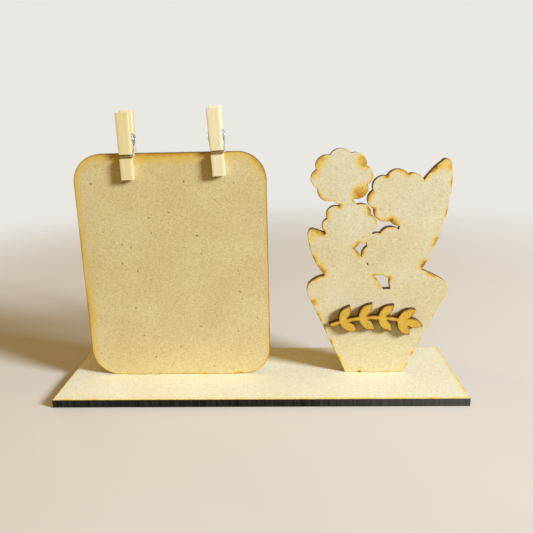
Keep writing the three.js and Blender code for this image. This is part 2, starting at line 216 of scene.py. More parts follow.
@dataclass(frozen=True)
class PhotoCamera:
    """The camera of the photograph, worked out from the base plate's edges."""

    place_mm: Triple = (13.602, -267.023, 135.084)
    pitch_deg: float = 15.414
    yaw_deg: float = -2.051
    roll_deg: float = 1.270
    focal_px: float = 552.76
    sensor_mm: float = 36.0
    near_mm: float = 10.0

    def build(self) -> None:
        """Makes the camera and gives it to the scene."""
        pitch, yaw, roll = (math.radians(a) for a in (self.pitch_deg, self.yaw_deg, self.roll_deg))
        ahead = Vector((
            math.sin(yaw) * math.cos(pitch), math.cos(yaw) * math.cos(pitch), -math.sin(pitch)
        ))
        level = Vector((math.cos(yaw), -math.sin(yaw), 0.0))
        down = ahead.cross(level)
        right = math.cos(roll) * level + math.sin(roll) * down
        lower = math.cos(roll) * down - math.sin(roll) * level

        data = bpy.data.cameras.new("photo_camera")
        data.sensor_fit = "HORIZONTAL"
        data.sensor_width = self.sensor_mm
        data.lens = self.focal_px * self.sensor_mm / PHOTO_SIDE_PX
        data.clip_start = self.near_mm * MM
        camera = bpy.data.objects.new("photo_camera", data)
        turn = Matrix((right, -lower, -ahead)).transposed().to_4x4()
        camera.matrix_world = Matrix.Translation(Vector(self.place_mm) * MM) @ turn
        bpy.context.scene.collection.objects.link(camera)
        bpy.context.scene.camera = camera


@dataclass(frozen=True)
class Lamp:
    """A round soft lamp that looks at the middle of the object."""

    name: str
    azimuth_deg: float  # from straight in front towards the right
    elevation_deg: float
    distance_mm: float
    width_mm: float
    watts: float
    colour: str

    def build(self, middle: Vector) -> None:
        """Hangs the lamp and turns it to the object.

        Args:
            middle: The point that it looks at, in metres.
        """
        azimuth, elevation = math.radians(self.azimuth_deg), math.radians(self.elevation_deg)
        towards = Vector((
            math.sin(azimuth) * math.cos(elevation),
            -math.cos(azimuth) * math.cos(elevation),
            math.sin(elevation),
        ))
        data = bpy.data.lights.new(self.name, "AREA")
        data.shape = "DISK"
        data.size = self.width_mm * MM
        data.energy = self.watts
        data.color = linear(self.colour)[:3]
        lamp = bpy.data.objects.new(self.name, data)
        lamp.location = middle + towards * (self.distance_mm * MM)
        lamp.rotation_euler = towards.to_track_quat("Z", "Y").to_euler()
        lamp.visible_camera = False
        bpy.context.scene.collection.objects.link(lamp)


@dataclass(frozen=True)
class Studio:
    """A pale floor that fades into a pale surround, and three soft lamps."""

    surround: str = "#eae8e3"
    floor: str = "#e2dfd9"
    floor_bounce: str = "#8d8372"
    floor_roughness: float = 0.95
    floor_gloss: float = 0.1
    ambient: float = 0.24
    ambient_tint: str = "#ffcc66"
    floor_side_mm: float = 3000.0
    fade_from_mm: float = 230.0
    fade_to_mm: float = 640.0
    floor_gap_mm: float = 0.2
    aim_mm: Triple = (0.0, 0.0, 60.0)
    lamps: tuple[Lamp, ...] = (
        Lamp("window_lamp", 63.0, 23.0, 2000.0, 520.0, 68.0, "#edf5ff"),
        Lamp("front_lamp", 5.0, 48.0, 1300.0, 900.0, 2.2, "#ffdfa6"),
        Lamp("back_lamp", 222.0, 1.0, 1500.0, 180.0, 11.0, "#fff2db"),
    )

    def build(self) -> None:
        """Makes the world, the floor and the lamps."""
        bpy.context.scene.view_settings.view_transform = "Standard"
        self.build_world()
        self.build_floor()
        for lamp in self.lamps:
            lamp.build(Vector(self.aim_mm) * MM)

    def build_world(self) -> None:
        """Lights the scene evenly, and shows a pale surround to the camera and to mirrors."""
        world = bpy.data.worlds.new("pale_surround")
        world.use_nodes = True
        bpy.context.scene.world = world
        tree = world.node_tree
        tree.nodes.clear()
        light, show = (
            add_node(tree, "ShaderNodeBackground", (linear(colour), strength))
            for colour, strength in ((self.ambient_tint, self.ambient), (self.surround, 1.0))
        )
        both = add_node(tree, "ShaderNodeMixShader", (seen_plainly(tree), light, show))
        add_node(tree, "ShaderNodeOutputWorld", (both,))

    def build_floor(self) -> None:
        """Lays the floor just under the base and fades it out far from the object."""
        half, low = self.floor_side_mm / 2 * MM, -self.floor_gap_mm * MM
        corners = [(-half, -half, low), (half, -half, low), (half, half, low), (-half, half, low)]
        mesh = bpy.data.meshes.new("floor")
        mesh.from_pydata(corners, [], [(0, 1, 2, 3)])
        material, tree, shader = start_finish("matt_paper_floor")
        paper = add_node(tree, "ShaderNodeMix", {
            MIX_FACTOR: seen_plainly(tree),
            MIX_A: linear(self.floor_bounce), MIX_B: linear(self.floor),
        }, data_type="RGBA").outputs[MIX_RESULT]
        place = add_node(tree, "ShaderNodeTexCoord").outputs["Object"]
        away = add_node(tree, "ShaderNodeVectorMath", (place,), operation="LENGTH").outputs["Value"]
        fade = add_node(tree, "ShaderNodeMapRange", (
            away, self.fade_from_mm * MM, self.fade_to_mm * MM, 1.0, 0.0,
        ), interpolation_type="SMOOTHSTEP")
        set_inputs(tree, shader, {
            "Base Color": paper, "Alpha": fade,
            "Roughness": self.floor_roughness, "Specular IOR Level": self.floor_gloss,
        })
        mesh.materials.append(material)
        add_piece("floor", mesh)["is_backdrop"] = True


@dataclass(frozen=True)
class Fibreboard:
    """Medium-density fibreboard, sanded and cut by laser.

    Pressed wood fibre gives the eye a matt, almost even tan with a faint felted mottle, slow
    clouds of tone and a few dark flecks. The laser leaves amber to brown heat tint beside the
    cut, and a charred wall with fine upright striae.
    """

    name: str
    face: str
    deep: str
    fibre_pale: str
    fibre_dark: str
    fleck: str
    gold: str
    amber: str
    brown: str
    wall: str
    wall_pale: str
    grain: float = 1.0
    roughness: tuple[float, float] = (0.74, 0.88)
    wall_roughness: float = 0.55
    gloss: float = 0.3
    singe: float = 1.0  # how uneven the heat tint is
    singe_swings: tuple[float, float] = (0.24, 0.2)  # by the mottle and by the specks
    drift: float = 0.0  # how far the tone drifts to the deeper one, within reach_mm down
    drift_from_mm: float = 60.0
    reach_mm: float = 100.0
    cloud_mm: float = 26.0
    mottle_mm: float = 2.2
    # Real fibres are about 0.05 mm wide; they are drawn several times coarser so that they show.
    speck_mm: float = 0.6
    fibre_mm: Triple = (1.7, 0.42, 0.42)
    fibre_turns: tuple[Triple, ...] = ((0.4, 0.7, 0.3), (-0.5, -0.9, 1.4))
    fleck_cell_mm: Triple = (7.92, 3.6, 3.6)
    fleck_turns: tuple[Triple, ...] = ((0.3, 0.5, 0.2), (0.9, -0.8, 1.1))
    fleck_mm: float = 0.95
    fleck_core: float = 0.45  # how much of a fleck is dark before it fades
    fleck_bare: float = 0.45  # the share of cells without a fleck
    fleck_share: float = 0.85
    char_mm: float = 0.7
    char_drift: float = 0.25
    char_lines: float = 1.0  # how plain the striae are
    char_painted_sheen: float = 0.0  # how much painted sheen pales the char at reach_mm right of the middle
    char_painted_sheen_from_mm: float = 20.0
    bump_mm: float = 0.05
    bump_strength: float = 0.55

    def material(self) -> Material:
        """Builds the finish; it reads the sheet's scorch, wall and stria attributes.

        Returns:
            The material.
        """
        material, tree, shader = start_finish(self.name)
        place = add_node(tree, "ShaderNodeTexCoord").outputs["Object"]
        scorch, wall, stria = (
            add_node(tree, "ShaderNodeAttribute", attribute_name=name).outputs["Fac"]
            for name in ("scorch", "wall", "stria")
        )
        cloud, mottle, speck, char = (
            add_node(tree, "ShaderNodeTexNoise", {
                "Vector": place, "Scale": per_mm(size), "Detail": detail, "Roughness": roughness,
            })
            for size, detail, roughness in (
                (self.cloud_mm, 3.0, 0.5), (self.mottle_mm, 4.0, 0.62),
                (self.speck_mm, 2.0, 0.6), (self.char_mm, 3.0, 0.6),
            )
        )
        fibres = []
        for turn in self.fibre_turns:
            felt = add_node(tree, "ShaderNodeMapping", {
                "Vector": place, "Rotation": turn, "Scale": [size * MM for size in self.fibre_mm],
            }, vector_type="TEXTURE")
            fibres.append(add_node(tree, "ShaderNodeTexNoise", {
                "Vector": felt, "Scale": 1.0, "Detail": 2.0, "Roughness": 0.55,
            }))
        across, _, height = add_node(tree, "ShaderNodeSeparateXYZ", (place,)).outputs

        low, high = ((self.drift_from_mm + way * self.reach_mm) * MM for way in (-1, 1))
        lower = add_node(tree, "ShaderNodeMapRange", (height, low, high, self.drift, -self.drift))
        drifted = add_node(tree, "ShaderNodeMath", (cloud, lower), operation="ADD")
        heat = scorch
        for grain, most in zip((mottle, speck), self.singe_swings):
            swing = most * self.singe
            uneven = add_node(tree, "ShaderNodeMapRange", (grain, 0.34, 0.66, 1 - swing, 1 + swing))
            heat = add_node(tree, "ShaderNodeMath", (heat, uneven), operation="MULTIPLY")
        colour = layered(tree, linear(self.face), (
            (drifted, 0.36, 0.64, 1.0, self.deep),
            (mottle, 0.45, 0.72, 0.45 * self.grain, self.fibre_dark),
            (speck, 0.5, 0.68, 0.75 * self.grain, self.fibre_dark),
            (speck, 0.5, 0.32, 0.75 * self.grain, self.fibre_pale),
            (fibres[0], 0.5, 0.7, 0.8 * self.grain, self.fibre_dark),
            (fibres[1], 0.5, 0.7, 0.8 * self.grain, self.fibre_pale),
            (self.flecks(tree, place), 0.0, 1.0, 1.0, self.fleck),
            (heat, 0.06, 0.34, 0.9, self.gold),
            (heat, 0.34, 0.66, 0.9, self.amber),
            (heat, 0.66, 1.0, 0.9, self.brown),
        ))
        lines = self.char_paleness(tree, stria, char, cloud, across)
        charred = layered(tree, linear(self.wall), ((lines, 0.0, 1.0, 1.0, self.wall_pale),))
        colour = add_node(tree, "ShaderNodeMix", {
            MIX_FACTOR: wall, MIX_A: colour, MIX_B: charred,
        }, data_type="RGBA").outputs[MIX_RESULT]

        grit = add_node(tree, "ShaderNodeMath", tuple(fibres), operation="ADD")
        bump = add_node(tree, "ShaderNodeBump", {
            "Strength": self.bump_strength, "Distance": self.bump_mm * MM, "Height": grit,
        })
        dull = add_node(tree, "ShaderNodeMapRange", (mottle, *NOISE_SPAN, *self.roughness))
        shine = add_node(tree, "ShaderNodeMix", {"Factor": wall, "A": dull, "B": self.wall_roughness})
        set_inputs(tree, shader, {
            "Base Color": colour, "Normal": bump, "Roughness": shine,
            "Specular IOR Level": self.gloss,
        })
        return material

    def char_paleness(
        self, tree: Tree, stria: Source, char: Source, cloud: Source, across: Source
    ) -> Node:
        """Works out how pale the charred wall is: its striae and specks, and a painted sheen towards the
        right.

        Args:
            tree: The material's node tree.
            stria: The depth of the laser's lines.
            char: Fine noise.
            cloud: Slow noise.
            across: The place across the object.

        Returns:
            The share of the pale tone on the wall.
        """
        plain = self.char_lines
        lines, specks, slow, painted_sheen = (
            add_node(tree, "ShaderNodeMapRange", steps) for steps in (
                (stria, 0.32, 0.78, 0.0, 0.9),
                (char, 0.45, 0.75, 0.0, 0.35),
                (cloud, 0.4, 0.6, plain * (1 - self.char_drift), plain),
                # Painted sheen: the char is painted paler towards the right end, standing in for the lamp's
                # glancing highlight.
                (across, self.char_painted_sheen_from_mm * MM, self.reach_mm * MM, 0.0, self.char_painted_sheen),
            )
        )
        for other, operation, held in (
            (specks, "ADD", True), (slow, "MULTIPLY", False), (painted_sheen, "ADD", False),
        ):
            lines = add_node(
                tree, "ShaderNodeMath", (lines, other), operation=operation, use_clamp=held
            )
        return lines

    def flecks(self, tree: Tree, place: Source) -> Node:
        """Scatters sparse dark flecks, longer than wide, in two directions.

        Args:
            tree: The material's node tree.
            place: Object coordinates.

        Returns:
            The share of fleck colour at a point.
        """
        edge = self.fleck_mm / 2 / self.fleck_cell_mm[1]
        masks = []
        for turn in self.fleck_turns:
            long_way = add_node(tree, "ShaderNodeMapping", {
                "Vector": place, "Rotation": turn, "Scale": [size * MM for size in self.fleck_cell_mm],
            }, vector_type="TEXTURE")
            cells = add_node(tree, "ShaderNodeTexVoronoi", {"Vector": long_way, "Scale": 1.0}).outputs
            spot = add_node(tree, "ShaderNodeMapRange", (
                cells["Distance"], edge * self.fleck_core, edge, self.fleck_share, 0.0,
            ))
            chance = add_node(tree, "ShaderNodeSeparateColor", (cells["Color"],))
            chosen = add_node(tree, "ShaderNodeMapRange", (chance, self.fleck_bare, 1.0, 0.0, 1.0))
            masks.append(add_node(tree, "ShaderNodeMath", (spot, chosen), operation="MULTIPLY"))
        return add_node(tree, "ShaderNodeMath", tuple(masks), operation="MAXIMUM")


@dataclass(frozen=True)
class BirchTone:
    """The tones of one stick of birch."""

    pale: str
    streak: str
    pore: str
    end_grain: str
    # The sawn sides' tone, partly painted shade.
    sawn_shade: str


@dataclass(frozen=True)
class Birch:
    """Planed bare birch: pale, close-grained wood with straight streaks and fine pores.

    The sawn sides are a little darker than the planed faces, partly as sawn wood and partly as painted
    shade that tones down the lamp's light on them; the end grain is darker still.
    """

    name: str
    tone: BirchTone
    middle: Vector
    lean: float
    streak_mm: tuple[float, float] = (1.1, 30.0)
    # Birch pores are about 0.1 mm wide; they are drawn coarser so that they show.
    pore_mm: tuple[float, float] = (0.3, 3.2)
    roughness: tuple[float, float] = (0.56, 0.68)
    bump_mm: float = 0.04
    bump_strength: float = 0.5
    facing: tuple[float, float] = (0.75, 0.95)  # how squarely a side or an end faces its way
    sawn_shade_share: float = 0.72
    end_share: float = 0.7

    def material(self) -> Material:
        """Builds the finish with its grain along the peg.

        Returns:
            The material.
        """
        material, tree, shader = start_finish(self.name)
        coords = add_node(tree, "ShaderNodeTexCoord").outputs
        grains = []
        for wide, long in (self.streak_mm, self.pore_mm):
            along = add_node(tree, "ShaderNodeMapping", {
                "Vector": coords["Object"], "Location": self.middle,
                "Rotation": (0.0, self.lean, 0.0), "Scale": (wide * MM, wide * MM, long * MM),
            }, vector_type="TEXTURE")
            grains.append(add_node(tree, "ShaderNodeTexNoise", {
                "Vector": along, "Scale": 1.0, "Detail": 3.0, "Roughness": 0.55, "Distortion": 0.25,
            }))
        streaks, pores = grains
        normal = add_node(tree, "ShaderNodeSeparateXYZ", (coords["Normal"],)).outputs
        sideways, upright = (
            add_node(tree, "ShaderNodeMath", (normal[axis],), operation="ABSOLUTE") for axis in (0, 2)
        )
        colour = layered(tree, linear(self.tone.pale), (
            (streaks, 0.38, 0.66, 0.85, self.tone.streak),
            (pores, 0.56, 0.76, 0.42, self.tone.pore),
            # Sides facing across the peg take the sawn tone: partly the sawn wood, partly painted shade
            # against the lamp's light on them.
            (sideways, *self.facing, self.sawn_shade_share, self.tone.sawn_shade),
            (upright, *self.facing, self.end_share, self.tone.end_grain),
        ))
        bump = add_node(tree, "ShaderNodeBump", {
            "Strength": self.bump_strength, "Distance": self.bump_mm * MM, "Height": pores,
        })
        dull = add_node(tree, "ShaderNodeMapRange", (streaks, *NOISE_SPAN, *self.roughness))
        set_inputs(tree, shader, {"Base Color": colour, "Normal": bump, "Roughness": dull})
        return material


@dataclass(frozen=True)
class ZincWire:
    """Spring steel wire, bright zinc plated: a cool grey metal with a soft shine that clouds a little.

    Where it lies in a groove, painted shade makes it dark and dull.
    """

    name: str = "zinc_plated_spring_wire"
    colour: str = "#c9cbcd"
    dull: str = "#b0b2b4"
    groove_shade: str = "#957d50"
    roughness: tuple[float, float] = (0.32, 0.5)
    groove_shade_roughness: float = 0.75
    groove_shade_metallic: float = 0.2
    cloud_mm: float = 1.6

    def material(self) -> Material:
        """Builds the finish.

        Returns:
            The material.
        """
        material, tree, shader = start_finish(self.name)
        place = add_node(tree, "ShaderNodeTexCoord").outputs["Object"]
        cloud = add_node(tree, "ShaderNodeTexNoise", {
            "Vector": place, "Scale": per_mm(self.cloud_mm), "Detail": 3.0,
        })
        # Painted shade: the wire is darker, browner and duller where it lies in a groove.
        groove_shaded = add_node(tree, "ShaderNodeAttribute", attribute_name="groove_shaded").outputs["Fac"]
        colour = layered(tree, linear(self.colour), (
            (cloud, 0.35, 0.7, 1.0, self.dull), (groove_shaded, 0.0, 1.0, 1.0, self.groove_shade),
        ))
        worn = add_node(tree, "ShaderNodeMapRange", (cloud, *NOISE_SPAN, *self.roughness))
        worn = add_node(tree, "ShaderNodeMix", {"Factor": groove_shaded, "A": worn, "B": self.groove_shade_roughness})
        bare = add_node(tree, "ShaderNodeMapRange", (groove_shaded, 0.0, 1.0, 1.0, self.groove_shade_metallic))
        set_inputs(tree, shader, {"Base Color": colour, "Roughness": worn, "Metallic": bare})
        return material


@dataclass(frozen=True)
class SheetAxes:
    """Directions of a sheet: across and up lie in its show face, and out leaves that face."""

    across: Vector
    up: Vector
    out: Vector

    @classmethod
    def facing(cls, across: Vector, up: Vector) -> "SheetAxes":
        """Completes the axes from the two in the face."""
        return cls(across, up, across.cross(up))

    def solid(self, flat: np.ndarray, height: np.ndarray) -> np.ndarray:
        """Turns points of the sheet into the frame.

        Args:
            flat: Points across and up the face, in mm.
            height: Their place along out, in mm.

        Returns:
            Points in the frame, in metres.
        """
        across, up, out = (np.array(axis) for axis in (self.across, self.up, self.out))
        return (flat[:, :1] * across + flat[:, 1:] * up + height[:, None] * out) * MM


UPRIGHT = SheetAxes.facing(Vector((1, 0, 0)), Vector((0, 0, 1)))
LYING = SheetAxes.facing(Vector((1, 0, 0)), Vector((0, 1, 0)))


@dataclass(frozen=True)
class Outlines:
    """The closed outlines of a sheet's face, in mm, each with the material on its left."""

    loops: list[np.ndarray]
    mitre_limit: float = 0.5
    most_tests: int = 4_000_000  # points times edges tested at one time

    @cached_property
    def rim(self) -> np.ndarray:
        """Joins the points of all outlines."""
        return np.vstack(self.loops)

    @cached_property
    def ends(self) -> np.ndarray:
        """Counts the rim's points up to the end of each outline."""
        return np.cumsum([len(loop) for loop in self.loops])

    @cached_property
    def following(self) -> np.ndarray:
        """Gives the number of the next point along the outline, for each point of the rim."""
        starts = self.ends - [len(loop) for loop in self.loops]
        return np.concatenate([np.roll(np.arange(*ends), -1) for ends in zip(starts, self.ends)])

    @cached_property
    def inward(self) -> np.ndarray:
        """Works out the way into the material.

        Returns:
            The step at each point of the rim that moves both its edges 1 mm inwards.
        """
        ahead = self.rim[self.following] - self.rim
        heading = ahead / np.linalg.norm(ahead, axis=1)[:, None]
        left = np.stack([-heading[:, 1], heading[:, 0]], axis=1)
        both = left.copy()
        both[self.following] += left
        return both * (2.0 / np.maximum((both**2).sum(axis=1), self.mitre_limit))[:, None]

    @cached_property
    def outward(self) -> np.ndarray:
        """Gives the way that the edge faces at each point of the rim."""
        return -self.inward / np.linalg.norm(self.inward, axis=1)[:, None]

    @cached_property
    def edge(self) -> kdtree.KDTree:
        """Sorts the rim, so that its nearest point is quickly found.

        Returns:
            A tree that gives the nearest point's number and how far away it is.
        """
        tree = kdtree.KDTree(len(self.rim))
        for at, (x, y) in enumerate(self.rim):
            tree.insert((x, y, 0.0), at)
        tree.balance()
        return tree

    def moved(self, rim: np.ndarray) -> "Outlines":
        """Gives the same outlines with the points of the rim in new places."""
        return Outlines(np.split(rim, self.ends[:-1]))

    def hold(self, points: np.ndarray) -> np.ndarray:
        """Tells which points lie in the material.

        Args:
            points: Points in mm.

        Returns:
            True for each point inside an odd number of outlines.
        """
        crossings = np.zeros(len(points), int)
        for loop in self.loops:
            then = np.roll(loop, -1, axis=0)
            rise = then[:, 1] - loop[:, 1]
            slope = (then[:, 0] - loop[:, 0]) / np.where(rise == 0.0, 1.0, rise)
            parts = 1 + len(points) * len(loop) // self.most_tests
            for some in np.array_split(np.arange(len(points)), parts):
                x, y = points[some, :1], points[some, 1:]
                spans = (loop[:, 1] > y) != (then[:, 1] > y)
                crossings[some] += (spans & (x < loop[:, 0] + (y - loop[:, 1]) * slope)).sum(axis=1)
        return crossings % 2 == 1


@dataclass(frozen=True)
class ScorchMark:
    """A soft mark of heat on a face, at a place in the sheet's own across and up, in the frame's mm.

    Reach is how far it spreads along the edge, and depth how far in from the edge.
    """

    across_mm: float
    up_mm: float
    reach_mm: float
    strength: float
    depth_mm: float = 1.5


@dataclass(frozen=True)
class Scorch:
    """How far the laser's heat has tinted a sheet beside edges that face each way, and its single marks."""

    left_mm: float = 0.6
    right_mm: float = 0.6
    top_mm: float = 0.6
    bottom_mm: float = 0.6
    least_mm: float = 0.05
    glow: float = 0.62  # the strength of the soft tint at the edge
    line_mm: float = 0.3
    line: float = 0.8  # the strength of the fine dark line along the edge
    patch_mm: float = 6.0
    patchy: float = 1.0  # how far both come and go along the edge
    patch_level: float = 0.35
    patch_gain: float = 2.4
    clear_reach: float = 0.3  # the share of the reach where there is no patch
    patch_reach: float = 0.9  # what a patch adds to it
    marks: tuple[ScorchMark, ...] = ()

    def tint(self, points: np.ndarray, outlines: Outlines, seed: float) -> np.ndarray:
        """Works out the heat tint at points of a face.

        Args:
            points: Points of the face, in mm.
            outlines: The sheet's outlines.
            seed: Shifts the patches, so that each face has its own.

        Returns:
            The tint at each point, from 0 for none to 1 for brown.
        """
        tints = np.zeros(len(points))
        for at, (x, y) in enumerate(points):
            _, nearest, away = outlines.edge.find((x, y, 0.0))
            faces_x, faces_y = outlines.outward[nearest]
            reach = (
                self.left_mm * min(0.0, faces_x) ** 2 + self.right_mm * max(0.0, faces_x) ** 2
                + self.bottom_mm * min(0.0, faces_y) ** 2 + self.top_mm * max(0.0, faces_y) ** 2
            )
            patch = noise.noise((x / self.patch_mm, y / self.patch_mm, seed))
            patch = min(1.0, max(0.0, self.patch_level + self.patch_gain * patch))
            share = 1.0 - self.patchy + self.patchy * patch
            reach = max(self.least_mm, reach * (self.clear_reach + self.patch_reach * share))
            clear = 1.0 - self.glow * share * math.exp(-away / reach)
            clear *= 1.0 - self.line * share * math.exp(-((away / self.line_mm) ** 2))
            for mark in self.marks:
                far = math.hypot(x - mark.across_mm, y - mark.up_mm) / mark.reach_mm
                deep = away / mark.depth_mm
                clear *= 1.0 - mark.strength * math.exp(-(far**4) - deep * deep)
            tints[at] = 1.0 - clear
        return tints


@dataclass(frozen=True)
class CutSheet:
    """A flat piece cut from sheet, made again from its node's outline with eased arrises."""

    node: str
    axes: SheetAxes
    arris_mm: float
    outline_step_mm: float
    fill_step_mm: float
    stria_mm: float = 0.0
    scorch: Scorch | None = None
    seed: int = 1
    back_shift: float = 37.5  # from the front's patches of heat to the back's
    arris_steps: int = 3
    arris_room: float = 0.45  # the most of a narrow place's room that its arris takes
    wall_step_mm: float = 1.3
    wall_fade: float = 1.5  # the power by which the char sets in over the arris
    fine_band_mm: float = 9.0
    coarse_times: float = 3.0
    edge_gap: float = 0.6  # from the rim to the nearest fill, in steps
    row_gap: float = math.sqrt(0.75)  # between the rows of the fill, in steps
    insets_mm: tuple[float, ...] = (0.2, 0.45)  # rows of points beside a scorched edge
    inset_gap: float = 0.8  # the least share of its inset that such a point keeps from the rim
    corner_deg: float = 33.0  # a sharper turn of the outline stays a corner
    straight_times: float = 2.5  # a stretch that is so much longer than the next stays straight
    straight_bend: float = 0.004  # the sine of the least turn that counts as a bend
    level_mm: float = 0.05
    level_facing: float = 0.99
    weld_mm: float = 0.01
    flat_mm2: float = 1e-5
    sharp_deg: float = 38.0

    def outlines(self) -> tuple[Outlines, float, float]:
        """Reads the outlines of the node's show face.

        Returns:
            The outlines, smoothed, the face's height along out and the sheet's thickness, in mm.
        """
        work = bmesh.new()
        work.from_mesh(frame["nodes"][self.node].data)
        bmesh.ops.remove_doubles(work, verts=work.verts, dist=self.weld_mm * MM)
        work.verts.index_update()
        out = self.axes.out
        heights = [vert.co.dot(out) / MM for vert in work.verts]
        top, low = max(heights), min(heights)
        steps = set()
        for face in work.faces:
            level = all(heights[vert.index] > top - self.level_mm for vert in face.verts)
            if level and face.normal.dot(out) > self.level_facing:
                steps.update(
                    (corner.vert.index, corner.link_loop_next.vert.index) for corner in face.loops
                )
        following = {a: b for a, b in sorted(steps) if (b, a) not in steps}
        places = [
            (vert.co.dot(self.axes.across) / MM, vert.co.dot(self.axes.up) / MM) for vert in work.verts
        ]
        work.free()
        loops = []
        while following:
            at = min(following)
            loop = []
            while at in following:
                loop.append(places[at])
                at = following.pop(at)
            loops.append(self.smoothed(self.without_straight_points(np.array(loop))))
        return Outlines(loops), top, top - low

    def without_straight_points(self, loop: np.ndarray) -> np.ndarray:
        """Drops the points of an outline that lie on a straight run.

        Args:
            loop: The outline's points, in mm.

        Returns:
            The points where it bends.
        """
        came = loop - np.roll(loop, 1, axis=0)
        goes = np.roll(loop, -1, axis=0) - loop
        bend = np.abs(came[:, 0] * goes[:, 1] - came[:, 1] * goes[:, 0])
        size = np.linalg.norm(came, axis=1) * np.linalg.norm(goes, axis=1)
        return loop[bend > self.straight_bend * size]

    def smoothed(self, loop: np.ndarray) -> np.ndarray:
        """Draws a faceted outline as a smooth one that keeps its corners and straight runs.

        Args:
            loop: The outline's points, in mm.

        Returns:
            Closely spaced points along the smooth outline.
        """
        ahead = np.roll(loop, -1, axis=0) - loop
        length = np.linalg.norm(ahead, axis=1)
        heading = ahead / length[:, None]
        came, came_length = np.roll(heading, 1, axis=0), np.roll(length, 1)
        turn = np.degrees(np.arccos(np.clip((came * heading).sum(axis=1), -1.0, 1.0)))
        mean = came + heading
        mean /= np.maximum(np.linalg.norm(mean, axis=1), TINY)[:, None]
        mean = np.where((length > self.straight_times * came_length)[:, None], heading, mean)
        mean = np.where((came_length > self.straight_times * length)[:, None], came, mean)
        corner = (turn > self.corner_deg)[:, None]
        leaving, arriving = np.where(corner, heading, mean), np.where(corner, came, mean)
        runs = []
        for at, start in enumerate(loop):
            then = (at + 1) % len(loop)
            count = max(1, math.ceil(length[at] / self.outline_step_mm))
            t = (np.arange(count) / count)[:, None]
            runs.append(
                (2 * t**3 - 3 * t**2 + 1) * start + (3 * t**2 - 2 * t**3) * loop[then]
                + (t**3 - 2 * t**2 + t) * length[at] * leaving[at]
                + (t**3 - t**2) * length[at] * arriving[then]
            )
        return np.vstack(runs)

    def arris_widths(self, outlines: Outlines) -> np.ndarray:
        """Narrows the arris where the sheet runs out to a point.

        Args:
            outlines: The sheet's outlines.

        Returns:
            The arris width at each point of the rim, in mm.
        """
        rim, following = outlines.rim, outlines.following
        room = np.full(len(rim), np.inf)
        for at, point in enumerate(rim):
            to = rim - point
            depth = -to @ outlines.outward[at]
            inside = depth > TINY
            room[at] = ((to[inside] ** 2).sum(axis=1) / (2 * depth[inside])).min(initial=np.inf)
        room = np.minimum(room, room[following])
        room[following] = np.minimum(room[following], room)
        return np.minimum(self.arris_mm, self.arris_room * room)

    def fill(self, face: Outlines) -> np.ndarray:
        """Scatters points over the face, closer together near the edges.

        Args:
            face: The face's outlines.

        Returns:
            Points inside the material, in mm.
        """
        low, high = face.rim.min(axis=0), face.rim.max(axis=0)
        chosen = []
        for step, nearest, farthest in (
            (self.fill_step_mm, self.edge_gap * self.fill_step_mm, self.fine_band_mm),
            (self.fill_step_mm * self.coarse_times, self.fine_band_mm, math.inf),
        ):
            for number, y in enumerate(np.arange(low[1], high[1], step * self.row_gap)):
                offset = step / 2 * (number % 2)
                chosen.extend(
                    (x, y) for x in np.arange(low[0] + offset, high[0], step)
                    if nearest < face.edge.find((x, y, 0.0))[2] <= farthest
                )
        for inset in self.insets_mm if self.scorch else ():
            chosen.extend(
                tuple(spot) for spot in face.rim + face.inward * inset
                if face.edge.find((*spot, 0.0))[2] > self.inset_gap * inset
            )
        chosen = np.array(chosen)
        return chosen[face.hold(chosen)]

    def triangles(self, face: Outlines, fill: np.ndarray) -> np.ndarray:
        """Joins the face's points to triangles that stay in the material.

        Args:
            face: The face's outlines.
            fill: Points inside the face, in mm.

        Returns:
            Point numbers of each triangle, the rim's first and then the fill's.
        """
        points = np.vstack([face.rim, fill])
        edges = [(at, int(then)) for at, then in enumerate(face.following)]
        made, _, faces, sources, _, _ = geometry.delaunay_2d_cdt(
            [Vector(point) for point in points], edges, [], 0, TINY
        )
        lost = sum(1 for source in sources if not source) + len(points) - sum(map(len, sources))
        if lost:
            LOG.warning("%s: %d points of the face were lost", self.node, lost)
        first = np.array([source[0] if source else -1 for source in sources])
        faces = np.array(faces)
        faces = faces[(first[faces] >= 0).all(axis=1)]
        corners = np.array([tuple(point) for point in made])[faces]
        faces = first[faces[face.hold(corners.mean(axis=1))]]
        a, b, c = (points[faces[:, corner]] for corner in range(3))
        turned = (b[:, 0] - a[:, 0]) * (c[:, 1] - a[:, 1]) - (b[:, 1] - a[:, 1]) * (c[:, 0] - a[:, 0])
        faces = np.where((turned < 0)[:, None], faces[:, ::-1], faces)
        # Three points of a straight rim can join to a triangle with no area.
        return faces[np.abs(turned) > self.flat_mm2]

    def rings(self, width: np.ndarray, thick: float) -> list[tuple[np.ndarray, np.ndarray, float]]:
        """Steps down the cut edge: over the front arris, down the wall and over the back arris.

        Args:
            width: The arris width at each point of the rim, in mm.
            thick: The sheet's thickness, in mm.

        Returns:
            Each ring's inset and depth at the rim's points, in mm, and its share of wall.
        """
        quarter = [math.pi / 2 * step / self.arris_steps for step in range(self.arris_steps + 1)]
        arris = [(width * (1 - math.sin(a)), width * (1 - math.cos(a)), math.sin(a)) for a in quarter]
        wall_count = max(1, round(thick / self.wall_step_mm))
        wall = [
            (width * 0, width + (thick - 2 * width) * step / wall_count, 1.0)
            for step in range(1, wall_count)
        ]
        back = [(inset, thick - depth, share) for inset, depth, share in reversed(arris)]
        return [*arris, *wall, *back]

    def mesh(self) -> Mesh:
        """Builds the closed sheet: two faces, rounded arrises and the cut wall.

        Returns:
            The mesh, with scorch, wall and stria attributes where the sheet has them.
        """
        outlines, top, thick = self.outlines()
        following, count = outlines.following, len(outlines.rim)
        # The laser's pulses cut fine upright lines into the wall, each of its own depth.
        stria = np.random.default_rng(self.seed).random(count)
        rings = self.rings(self.arris_widths(outlines), thick)
        flats = [
            outlines.rim + outlines.inward * (inset + self.stria_mm * stria * share)[:, None]
            for inset, _, share in rings
        ]
        face = outlines.moved(flats[0])
        fill = self.fill(face)
        triangles = self.triangles(face, fill)

